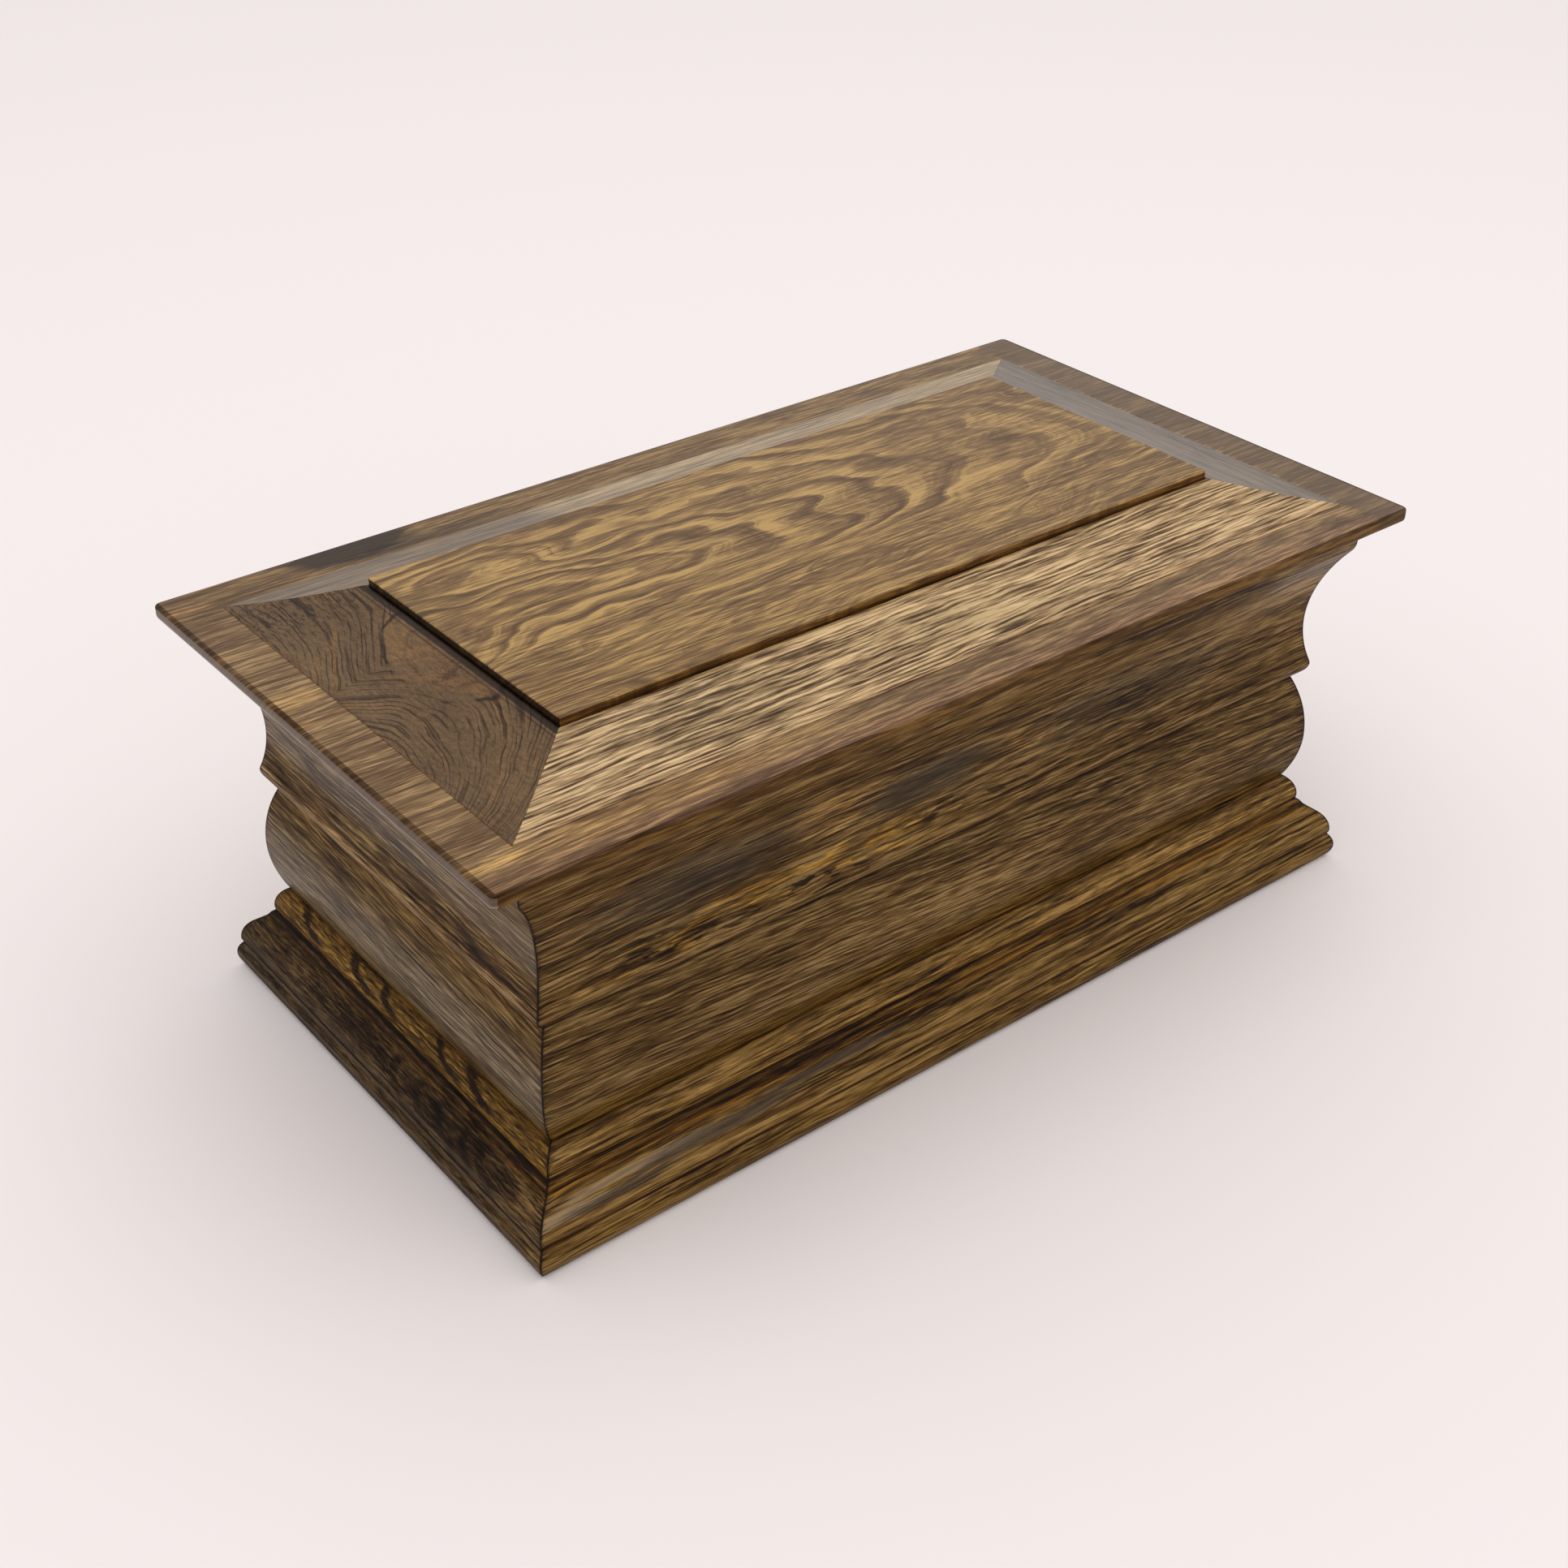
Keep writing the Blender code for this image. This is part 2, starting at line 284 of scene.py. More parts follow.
def base_section():
    """The base moulding, from its outer low edge round, as (reach from the cavity's face, height)."""
    line = WALL_THICKNESS
    ground, top = heights("base_front")
    top += SEAM
    ledge_height = heights("bottom_board")[1] + JOINT_GAP
    bead_crest = (line + FOOT_BEAD_PROUD, ground + FOOT_BEAD_HEIGHT / 2)
    bead_edge = bead_crest[0] - FOOT_BEAD_ROUND
    ovolo_foot = ground + FOOT_BEAD_HEIGHT + QUIRK_HEIGHT
    ovolo_crest = (bead_crest[0] - OVOLO_SETBACK, ovolo_foot + OVOLO_CREST_RISE)
    ovolo_top = (ovolo_crest[0] - OVOLO_FALL, ovolo_foot + OVOLO_HEIGHT)
    shoulder_top = (line + NECK_BEAD_PROUD - NECK_BEAD_CREST_RISE / 4, ovolo_top[1] + SHOULDER_HEIGHT)
    shoulder_edge = (shoulder_top[0] + SHOULDER_ROUND, shoulder_top[1] - SHOULDER_ROUND / 2)
    neck_crest = (line + NECK_BEAD_PROUD, shoulder_top[1] + NECK_BEAD_CREST_RISE)
    section = swell((bead_edge, ground), bead_crest, (bead_edge, ground + FOOT_BEAD_HEIGHT))
    section += [(ovolo_crest[0] - QUIRK_DEPTH, ovolo_foot)]
    section += swell((ovolo_crest[0] - QUIRK_DEPTH / 3, ovolo_foot), ovolo_crest, ovolo_top)
    section += bowed(ovolo_top, shoulder_edge, SHOULDER_ROUND / 5)
    section += bowed(shoulder_edge, shoulder_top, -SHOULDER_ROUND / 6)
    section += swell(shoulder_top, neck_crest, (line, top))[1:]
    section += [(0, top), (0, ledge_height), (BOTTOM_LEDGE, ledge_height), (BOTTOM_LEDGE, ground)]
    return section


def wall_section():
    """The swelling wall, from its foot round, as (reach from the cavity's face, height)."""
    line = WALL_THICKNESS
    foot, top = heights("wall_front")
    foot -= SEAM
    top += SEAM
    crest = (line + BELLY_PROUD, foot + BELLY_LOW_HEIGHT)
    return swell((line, foot), crest, (line - BELLY_TOP_SETBACK, top)) + [(0, top), (0, foot)]


def crown_section():
    """The crown moulding, from its lip round, as (reach from the cavity's face, height)."""
    line = WALL_THICKNESS
    foot, top = heights("crown_front")
    foot -= SEAM
    lip = (line + LIP_PROUD, foot + LIP_HEIGHT + SEAM)
    hollow = (line - COVE_SETBACK, lip[1] + COVE_LOW_HEIGHT)
    cove_top = (line + CROWN_EDGE_PROUD - CROWN_EDGE_ROUND, hollow[1] + COVE_TOP_HEIGHT)
    edge = (line + CROWN_EDGE_PROUD, cove_top[1] + CROWN_EDGE_ROUND_HEIGHT)
    section = upright_arc((lip[0] - LIP_ROUND, foot), lip)
    section += swell(lip, hollow, cove_top)[1:]
    section += upright_arc(cove_top, edge)[1:]
    section += [(edge[0], top), (0, top), (0, foot)]
    return section


def slope_section(run):
    """A lid slope of the given run, from its outer edge round, as (way in from its outer edge, height).

    The board and the panel keep their size, so the slope alone closes most of the gap to each.
    """
    foot, top = heights("lid_slope_front")
    foot -= 2 * SEAM
    rise = top - foot - SLOPE_OUTER_EDGE - SLOPE_LEDGE_RISE
    ledge_edge = run - SLOPE_INNER_LEDGE
    run += 1.5 * SEAM
    section = [(0, foot + SLOPE_OUTER_EDGE)]
    for step in range(1, ARC_STEPS + 1):
        share = step / ARC_STEPS
        sag = 4 * SLOPE_HOLLOW * share * (1 - share)
        section.append((ledge_edge * share, foot + SLOPE_OUTER_EDGE + rise * share - sag))
    section += [(run, top), (run, foot), (0, foot)]
    return section


def outline_object(section):
    """A closed outline as an object: its way out along -Y, its height along Z."""
    mesh = bpy.data.meshes.new("section")
    points = [(0, -measure, height) for measure, height in section]
    edges = [(index, (index + 1) % len(points)) for index in range(len(points))]
    mesh.from_pydata(points, edges, [])
    outline = bpy.data.objects.new("section", mesh)
    bpy.context.scene.collection.objects.link(outline)
    return outline


def moulding_nodes():
    """Geometry Nodes that run an outline along one side of the box, mitred at both ends."""
    group = bpy.data.node_groups.new("mitred_moulding", "GeometryNodeTree")
    group.is_modifier = True
    sizes = ("Half length", "Distance out", "Mitre share", "Mitre cut", "Spacing", "Turn")
    group.interface.new_socket("Geometry", in_out="INPUT", socket_type="NodeSocketGeometry")
    for name in sizes:
        group.interface.new_socket(name, in_out="INPUT", socket_type="NodeSocketFloat")
    group.interface.new_socket("Length steps", in_out="INPUT", socket_type="NodeSocketInt")
    group.interface.new_socket("Easing passes", in_out="INPUT", socket_type="NodeSocketInt")
    group.interface.new_socket("Wood", in_out="INPUT", socket_type="NodeSocketMaterial")
    group.interface.new_socket("Geometry", in_out="OUTPUT", socket_type="NodeSocketGeometry")
    tree = Tree(group)
    source = group.nodes.new("NodeGroupInput")

    def given(name):
        return Link(tree, source.outputs[name])

    outline = tree.node("GeometryNodeMeshToCurve", {}, {"Mesh": given("Geometry")})
    outline = tree.node(
        "GeometryNodeResampleCurve", {"mode": "LENGTH"}, {"Curve": outline, "Length": given("Spacing")}
    )
    place = tree.node("GeometryNodeInputPosition")
    eased = tree.node(
        "GeometryNodeBlurAttribute",
        {"data_type": "FLOAT_VECTOR"},
        {"Value": place, "Iterations": given("Easing passes")},
    )
    outline = tree.node("GeometryNodeSetPosition", {}, {"Geometry": outline, "Position": eased})
    corner = capture(tree, outline, "VECTOR", tree.node("GeometryNodeInputPosition"))
    run_round = capture(tree, corner[0], "FLOAT", tree.node("GeometryNodeSplineParameter", output="Length"))

    spine = tree.node("GeometryNodeCurvePrimitiveLine", {}, {"Start": (-1, 0, 0), "End": (1, 0, 0)})
    spine = tree.node(
        "GeometryNodeResampleCurve", {"mode": "COUNT"}, {"Curve": spine, "Count": given("Length steps")}
    )
    way_along = capture(tree, spine, "FLOAT", tree.node("GeometryNodeSplineParameter", output="Factor"))
    body = tree.node(
        "GeometryNodeCurveToMesh",
        {},
        {"Curve": way_along[0], "Profile Curve": run_round[0], "Fill Caps": True},
    )

    parts = tree.node("ShaderNodeSeparateXYZ", {}, {0: corner[1]})
    out = -parts.also("Y")
    height = parts.also("Z")
    reach = given("Half length") + out * given("Mitre share") - given("Mitre cut")
    share_along = way_along[1] * 2 - 1
    along = share_along * reach
    inset = (1 - abs(share_along)) * reach
    away = given("Distance out") + out
    position = tree.vector(along, -away, height)
    body = tree.node("GeometryNodeSetPosition", {}, {"Geometry": body, "Position": position})
    grain = tree.vector(along * MM_IN_METRE, run_round[1] * MM_IN_METRE, 0.0)
    body = tree.node(
        "GeometryNodeStoreNamedAttribute",
        {"data_type": "FLOAT2", "domain": "CORNER"},
        {"Geometry": body, "Name": "grain", "Value": grain},
    )
    body = tree.node(
        "GeometryNodeStoreNamedAttribute",
        {"data_type": "FLOAT", "domain": "POINT"},
        {"Geometry": body, "Name": "mitre", "Value": inset * MM_IN_METRE},
    )
    body = tree.node("GeometryNodeFlipFaces", {}, {"Mesh": body})
    turn = tree.node("ShaderNodeCombineXYZ", {}, {2: given("Turn")})
    body = tree.node("GeometryNodeTransform", {}, {"Geometry": body, "Rotation": turn})
    body = tree.node("GeometryNodeRealizeInstances", {}, {"Geometry": body})
    body = tree.node("GeometryNodeSetMaterial", {}, {"Geometry": body, "Material": given("Wood")})
    tree.node("NodeGroupOutput", {}, {"Geometry": body})
    return group


def capture(tree, geometry, data_type, value):
    """The geometry with a value held on it, and that value for use further on."""
    node = tree.node_tree.nodes.new("GeometryNodeCaptureAttribute")
    node.capture_items.new(data_type, "Held")
    tree.node_tree.links.new(geometry.socket, node.inputs["Geometry"])
    tree.node_tree.links.new(value.socket, node.inputs["Held"])
    return Link(tree, node.outputs["Geometry"]), Link(tree, node.outputs["Held"])


def finished(name, mesh, node):
    """An object for a finished piece, which rides on the box and stands for its CAD node."""
    piece = bpy.data.objects.new(name, mesh)
    bpy.context.scene.collection.objects.link(piece)
    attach(piece, "root")
    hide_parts(node)
    return piece


def mitred_moulding(group, side, section, half_length, distance, mitre_share, wood):
    """The mesh of one length of moulding, made by the Geometry Nodes tree."""
    outline = outline_object(section)
    maker = outline.modifiers.new("moulding", "NODES")
    maker.node_group = group
    values = {
        "Half length": half_length,
        "Distance out": distance,
        "Mitre share": mitre_share,
        "Mitre cut": MITRE_CUT,
        "Spacing": SECTION_SPACING,
        "Turn": SIDE_TURNS[side],
        "Length steps": LENGTH_STEPS,
        "Easing passes": EASING_PASSES,
        "Wood": wood,
    }
    for item in group.interface.items_tree:
        if item.in_out == "INPUT" and item.name in values:
            maker[item.identifier] = values[item.name]
    graph = bpy.context.evaluated_depsgraph_get()
    mesh = bpy.data.meshes.new_from_object(outline.evaluated_get(graph), depsgraph=graph)
    outline.modifiers.remove(maker)
    bpy.data.objects.remove(outline)
    mesh.shade_smooth()
    mesh.set_sharp_from_angle(angle=SHARP_FROM)
    return mesh


def add_mouldings(group, family, sections, half_sizes, mitre_shares, woods):
    """The four lengths of one moulding, each in place of its CAD node."""
    for side in SIDE_TURNS:
        ends = side in ("left", "right")
        half_length, distance = (half_sizes[1], half_sizes[0]) if ends else half_sizes
        wood = woods[side]
        mesh = mitred_moulding(group, side, sections[ends], half_length, distance, mitre_shares[ends], wood)
        finished(f"{family}_{side}_wood", mesh, f"{family}_{side}")


def rounded_rectangle(half_length, half_width, radius):
    """A rectangle's outline, with corners rounded to radius."""
    outline = []
    for quarter, (sign_x, sign_y) in enumerate(((1, 1), (-1, 1), (-1, -1), (1, -1))):
        for step in range(CORNER_STEPS + 1):
            angle = math.pi / 2 * (quarter + step / CORNER_STEPS)
            x = sign_x * (half_length - radius) + radius * math.cos(angle)
            outline.append((x, sign_y * (half_width - radius) + radius * math.sin(angle)))
    return outline


def board_mesh(name, low, high, edge, corner_radius):
    """A board between two corners, with its edge's outline given as (inset, height) from the underside."""
    half_length = (high[0] - low[0]) / 2
    half_width = (high[1] - low[1]) / 2
    form = bmesh.new()
    loops = []
    for inset, height in edge:
        radius = max(corner_radius - inset, SMALLEST_RADIUS)
        outline = rounded_rectangle(half_length - inset, half_width - inset, radius)
        loops.append([form.verts.new((x, y, low[2] + height)) for x, y in outline])
    form.faces.new(loops[0])
    form.faces.new(loops[-1])
    for lower, upper in zip(loops, loops[1:]):
        for index in range(len(lower)):
            form.faces.new((lower[index - 1], lower[index], upper[index], upper[index - 1]))
    bmesh.ops.recalc_face_normals(form, faces=form.faces)
    mesh = bpy.data.meshes.new(name)
    form.to_mesh(mesh)
    form.free()
    mesh.shade_smooth()
    mesh.set_sharp_from_angle(angle=SHARP_FROM)
    return mesh


def rounded_edge(thickness, low_arris, top_arris):
    """A board's edge from its underside to its top, with both arrises rounded, as (inset, height)."""
    angles = [math.pi / 2 * step / ARRIS_STEPS for step in range(ARRIS_STEPS + 1)]
    shares = [(1 - math.cos(angle), 1 - math.sin(angle)) for angle in angles]
    low = [(low_arris * inset, low_arris * height) for height, inset in shares]
    top = [(top_arris * inset, thickness - top_arris * fall) for inset, fall in shares]
    return low + top


def add_boards(board_wood, panel_wood):
    """The lid's board and its raised panel, in place of their CAD nodes."""
    low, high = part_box("lid_board")
    thickness = high[2] - low[2]
    low_arris = LID_LOW_ARRIS_SHARE * thickness
    top_arris = LID_TOP_ARRIS_SHARE * thickness
    edge = rounded_edge(thickness, low_arris, top_arris)
    board = board_mesh("lid_board_wood", low, high, edge, LID_CORNER_RADIUS + low_arris)
    board.materials.append(board_wood)
    finished("lid_board_wood", board, "lid_board")
    low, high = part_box("lid_panel")
    edge = rounded_edge(high[2] - low[2], PANEL_LOW_ARRIS, PANEL_ARRIS)
    panel = board_mesh("lid_panel_wood", low, high, edge, PANEL_CORNER_RADIUS)
    panel.materials.append(panel_wood)
    finished("lid_panel_wood", panel, "lid_panel")


# What one wood is made of: three colours from its dark streaks to its light ones; the length, width and
# strength of its broad bands, streaks and fibres; the spacing and strength of even rows; the length and
# width of its dark dashes, where in the noise they start and how deep they are; how far the grain drifts
# and slants from the piece's own line; and its varnish
Wood = collections.namedtuple(
    "Wood", "dark middle light broad streak fibre rows dash dash_start dash_depth drift slant coat roughness"
)

BODY = Wood(
    dark=(0.022, 0.008, 0.002),
    middle=(0.112, 0.058, 0.015),
    light=(0.29, 0.18, 0.065),
    broad=(80, 7, 1.0),
    streak=(26, 1.3, 1.6),
    fibre=(8, 0.5, 1.1),
    rows=(1.6, 0.0),
    dash=(22, 1.0),
    dash_start=0.06,
    dash_depth=0.8,
    drift=3.0,
    slant=0.0,
    coat=0.05,
    roughness=0.45,
)

# A stain covers the wood, and a tint multiplies its colour
# Near black for pores and glue lines, and also the painted shade on the panel's left edge and the ledge
# beside it
SOOT_AND_SHADE = (0.008, 0.004, 0.002)
# Dark brown for real streaks and patches, and also the painted shade in creases, hollows and under lips
DIRT_AND_SHADE = (0.3, 0.22, 0.14)

# Where the forms of the base lie across its grain, in millimetres from its outer low edge
FOOT_CREST_PLACE = 6.2
FOOT_TOP_PLACE = 8.4
QUIRK_PLACE = 9.6
OVOLO_TOP_PLACE = 21.8
SHOULDER_PLACE = 25.4
NECK_CREST_PLACE = 28.5


def stripes(across, spacing, sway):
    """Even stripes between -1 and 1, pushed aside by sway."""
    return (across * (2 * math.pi / spacing) + sway).math("SINE")


class Finish:
    """How a wood shows: its colour, relief, roughness and varnish, changed step by step."""

    def __init__(self, tree, wood, u, v, seed):
        self.tree = tree
        self.wood = wood
        self.u = u
        self.v = v
        self.seed = seed
        # The lines of the grain wander, in a slow drift and a quicker ripple
        drift = tree.waves(u, v, 60, 16, seed, 2.0) * wood.drift
        ripple = tree.waves(u, v, 13, 5, seed + 1.3, 2.0) * (wood.drift * 0.3)
        self.across = v + u * wood.slant + drift + ripple
        self.tone = 0.5
        for index, (length, width, strength) in enumerate((wood.broad, wood.streak, wood.fibre)):
            layer = tree.waves(u, self.across, length, width, seed + 2.7 + index)
            self.tone = layer * strength + self.tone
        if wood.rows[1]:
            self.tone = self.even_rows(*wood.rows) + self.tone
        self.dashes = self.dark_dashes(*wood.dash, wood.dash_start, 6.1)
        self.coat = wood.coat
        self.colour = None

    def even_rows(self, spacing, strength):
        """Long wavy rows at an even spacing, which come and go."""
        tree = self.tree
        sway = tree.waves(self.u, self.across, 8 * spacing, 1.5 * spacing, self.seed + 4.9) * 7
        fullness = tree.waves(self.u, self.across, 18, 3, self.seed + 5.7) * 2 + 0.5
        return stripes(self.across, spacing, sway) * fullness * strength

    def dark_dashes(self, length, width, start, seed):
        """Short dark pores and streaks, gathered in drifts."""
        tree = self.tree
        lines = tree.waves(self.u, self.across, length, width, self.seed + seed).fade(start, start + 0.09)
        drifts = tree.waves(self.u, self.v, 45, 9, self.seed + seed + 0.8).fade(-0.12, 0.1)
        return lines * drifts

    def lay_colour(self):
        """Turns the tone into colour, with the dashes over it."""
        wood = self.wood
        stops = [(0.14, wood.dark), (0.5, wood.middle), (0.86, wood.light)]
        self.colour = self.tree.node("ShaderNodeValToRGB", {"stops": stops}, {0: self.tone})
        self.colour = self.tree.blend(self.dashes * wood.dash_depth, self.colour, SOOT_AND_SHADE)

    def oval(self, centre, reach):
        """0 at the centre of an oval and 1 on its outline."""
        return (((self.u - centre[0]) / reach[0]) ** 2 + ((self.v - centre[1]) / reach[1]) ** 2) ** 0.5

    def patch(self, centre, reach, ragged=0.5, seed=0.0):
        """An oval patch with streaky edges: 1 within, 0 without. Its centre and reach are in millimetres."""
        edge = self.tree.waves(self.u, self.across, reach[0] / 2, reach[1] / 5, self.seed + seed + 9.4)
        edge = edge * (4 * ragged) + self.oval(centre, reach)
        return edge.fade(1.15, 0.65)

    def stain(self, share, colour):
        """Covers the wood."""
        self.colour = self.tree.blend(share, self.colour, colour)

    def tint(self, share, colour):
        """Colours the wood and leaves its streaks to be seen. Above 1 it lightens."""
        self.colour = self.tree.blend(share, self.colour, colour, "MULTIPLY")

    def line(self, place, width, evenness=0.5):
        """A line along the piece at one place across it, broken where the evenness is low."""
        breaks = self.tree.waves(self.u, self.v, 16, 3, self.seed + place) * (1 - evenness) * 4 + 1
        distance = abs(self.v - place)
        return (distance.fade(width, width * 0.35) * breaks).fade(0.1, 0.9)

    def varnish(self, share, coat):
        """Moves the varnish toward coat."""
        self.coat = share * (coat - self.coat) + self.coat

    def shader(self):
        """Links the finish to a shader and its output."""
        tree = self.tree
        wood = self.wood
        relief = self.tone * 0.4 - self.dashes * 0.6
        lift = {"Strength": BUMP_STRENGTH, "Distance": BUMP_DISTANCE, "Height": relief}
        bump = tree.node("ShaderNodeBump", {}, lift)
        values = {
            "Base Color": self.colour,
            "Roughness": self.dashes * 0.2 + wood.roughness,
            "Specular IOR Level": SPECULAR_LEVEL,
            "Coat Weight": self.coat,
            "Coat Roughness": COAT_ROUGHNESS,
            "Normal": bump,
        }
        shader = tree.node("ShaderNodeBsdfPrincipled", {}, values)
        tree.node("ShaderNodeOutputMaterial", {}, {"Surface": shader})


def new_material(name):
    """An empty material and its tree."""
    material = bpy.data.materials.new(name)
    material.use_nodes = True
    material.node_tree.nodes.clear()
    return material, Tree(material.node_tree)


def stain_mitres(finish):
    """Dark glue lines at the mitred ends, fainter where they wear, with the stain drawn out along the grain.
    """
    tree = finish.tree
    inset = tree.node("ShaderNodeAttribute", {"attribute_name": "mitre"}, output="Fac")
    barbs = tree.waves(finish.u, finish.across, 30, 0.9, finish.seed + 12.2).fade(0.0, 0.2)
    finish.stain((inset - barbs * 3.5).fade(1.0, 0.0) * 0.65, SOOT_AND_SHADE)
    wear_and_highlight = tree.waves(finish.u, finish.v, 20, 4, finish.seed + 13.4).fade(-0.15, 0.15)
    finish.stain(inset.fade(0.45, 0.15) * (wear_and_highlight * 0.45 + 0.5), SOOT_AND_SHADE)


def moulding_wood(name, wood, seed, details=(), mitred=True):
    """The wood of one moulding, with its own details."""
    material, tree = new_material(name)
    grain = tree.node("ShaderNodeUVMap", {"uv_map": "grain"})
    along = tree.node("ShaderNodeSeparateXYZ", {}, {0: grain})
    finish = Finish(tree, wood, along, along.also("Y"), seed)
    finish.lay_colour()
    for detail in details:
        detail(finish)
    if mitred:
        stain_mitres(finish)
    finish.shader()
    return material


def base_painted_shade_and_highlights(finish):
    """Painted shade in the hollows of the base, over its foot bead and where it meets the wall, and painted
    highlights along its crests.
    """
    amber = (0.72, 0.6, 0.34)
    dull = (0.76, 0.74, 0.66)
    shaded = (0.4, 0.3, 0.16)
    # Painted shade: dark lines in the quirk and the shoulder, and a darker amber band, the wood's amber with
    # painted shade, over the hollow above the ovolo
    finish.tint(finish.line(QUIRK_PLACE, 1.1, 0.9), DIRT_AND_SHADE)
    finish.tint(finish.v.fade(19.5, 22) * finish.v.fade(25.5, 24), amber)
    finish.tint(finish.line(SHOULDER_PLACE, 0.9, 0.9), DIRT_AND_SHADE)
    finish.tint(finish.line(22.8, 0.7, 0.5) * 0.7, DIRT_AND_SHADE)
    # Painted shade over the foot bead and where the neck bead turns in under the wall
    finish.tint(finish.v.fade(9, 7) * 0.8, dull)
    finish.tint(finish.v.fade(31, 35.5) * 0.8, shaded)
    # Painted highlights along the ovolo's top, the neck bead's crest and the foot bead's crest
    finish.tint(finish.line(OVOLO_TOP_PLACE, 0.6, 0.3) * 0.5, (1.7, 1.6, 1.1))
    finish.tint(finish.line(NECK_CREST_PLACE, 1.6, 0.3) * 0.7, (1.35, 1.35, 1.35))
    finish.tint(finish.line(FOOT_CREST_PLACE, 1.2, 0.4) * 0.6, (1.4, 1.4, 1.3))


def base_streaks(finish):
    """The front of the base: long dark streaks on its ovolo, and a smoky one that climbs from the left end
    with a light one above it."""
    pale = (0.32, 0.235, 0.15)
    smoky = (0.045, 0.036, 0.031)
    for centre, reach in (((-142, 15.8), (16, 1.7)), ((-117, 18.6), (24, 1.2))):
        finish.stain(finish.patch(centre, reach, 0.5, seed=centre[0] / 10) * 0.5, pale)
    for centre, reach in (((-124, 14.8), (20, 1.5)), ((-92, 17.2), (28, 1.9)), ((-52, 19.2), (26, 1.3))):
        finish.stain(finish.patch(centre, reach, 0.35, seed=centre[0] / 10) * 0.7, smoky)
    finish.tint(finish.patch((-60, 14.6), (75, 0.9), 1.0, seed=2.1) * 0.7, DIRT_AND_SHADE)
    neck = finish.v.fade(26, 27.5)
    grit = finish.tree.waves(finish.u, finish.v, 5, 0.6, finish.seed + 16.3)
    finish.tint(neck * grit.fade(0.0, 0.25) * 0.9, (0.5, 0.45, 0.4))
    finish.tint(neck * grit.fade(0.0, -0.25) * 0.9, (1.6, 1.55, 1.55))
    finish.tint(finish.patch((45, 13), (60, 1.0), 1.0, seed=3.1) * 0.8, DIRT_AND_SHADE)
    finish.tint(finish.patch((-100, 9.5), (18, 2.0), 1.0, seed=4.1) * 0.8, DIRT_AND_SHADE)
    finish.tint(finish.patch((32, 9.0), (9, 2.0), 1.0, seed=5.1) * 0.8, DIRT_AND_SHADE)


def base_stains_and_painted_light(finish):
    """The left of the base: nearly black patches on its ovolo, short hooked figures on its neck bead,
    painted highlights as pale lines along its foot bead and ovolo, and painted shade in its quirk and
    shoulder."""
    nearly_black = (0.35, 0.3, 0.3)
    golden = (2.5, 2.3, 1.05)
    wear_and_highlight = (0.13, 0.095, 0.06)
    hollow = (0.3, 0.24, 0.2)
    finish.tint(finish.patch((-16, 17), (20, 5), 0.8, seed=1.1) * 0.8, nearly_black)
    finish.tint(finish.patch((38, 16), (24, 5), 0.8, seed=2.1) * 0.8, nearly_black)
    finish.tint(finish.v.fade(24, 27) * 0.95, golden)
    finish.tint(finish.u.fade(52, 72) * finish.v.fade(25, 23) * 0.8, (1.8, 1.8, 1.6))
    for place, reach in ((-46, 10), (-16, 12), (-2, 9), (28, 10), (47, 13)):
        finish.tint(hook(finish, (place, 34), (reach, 5)), (0.14, 0.11, 0.09))
    for place, reach in ((14, 9), (25, 8), (38, 10), (48, 7), (58, 9)):
        finish.tint(hook(finish, (place, 20), (reach, 7)) * 0.8, (0.3, 0.25, 0.22))
    # Painted highlights: pale lines along the foot bead's crest and top, and along the ovolo's crest
    finish.stain(finish.line(5.0, 0.7, 0.4) * 0.45, wear_and_highlight)
    finish.stain(finish.line(FOOT_TOP_PLACE, 0.6, 0.4) * 0.4, wear_and_highlight)
    finish.stain(finish.line(12.2, 0.7, 0.2) * 0.3, (0.11, 0.08, 0.05))
    # Painted shade in the quirk and the shoulder
    finish.tint(finish.line(QUIRK_PLACE + 0.5, 0.7, 0.8), hollow)
    finish.tint(finish.line(SHOULDER_PLACE - 0.5, 1.0, 0.8), hollow)


def hook(finish, centre, reach):
    """A dark curl in the grain: its blunt head across the piece, its thin tail drawn out along it."""
    along = (finish.u - centre[0]) / reach[0]
    across = (finish.v - centre[1]) / reach[1]
    ragged = finish.tree.waves(finish.u, finish.v, 3, 1.2, finish.seed + centre[0], 2.0) * 0.5
    ring = finish.oval(centre, reach) + ragged - 1
    return abs(ring).fade(0.3, 0.1) * along.fade(0.5, -0.2) * across.fade(0.35, -0.1)


def olive_foot(finish):
    """The wall is darker along its foot and under the crown's lip with painted shade, lighter above its foot
    with a painted sheen, and speckled toward its top.
    """
    olive = (0.8, 0.72, 0.42)
    # Painted shade: an olive band and a dark line along the foot, and a dark line at the top under the
    # crown's lip
    finish.tint(finish.v.fade(9, 5) * 0.9, olive)
    finish.tint(finish.line(0.2, 1.1, 0.9) * 0.8, DIRT_AND_SHADE)
    finish.tint(finish.line(36.5, 1.0, 0.5) * 0.8, DIRT_AND_SHADE)
    # Painted sheen: a greyish lightening over the middle of the belly
    finish.tint(finish.patch((20, 18), (95, 8), 0.7, seed=1.1) * 0.7, (1.25, 1.24, 1.3))
    specks = finish.dark_dashes(8, 1.2, -0.02, 13.7)
    finish.tint(finish.patch((45, 29), (60, 7), 0.8, seed=2.1) * specks * 0.8, (0.3, 0.26, 0.26))


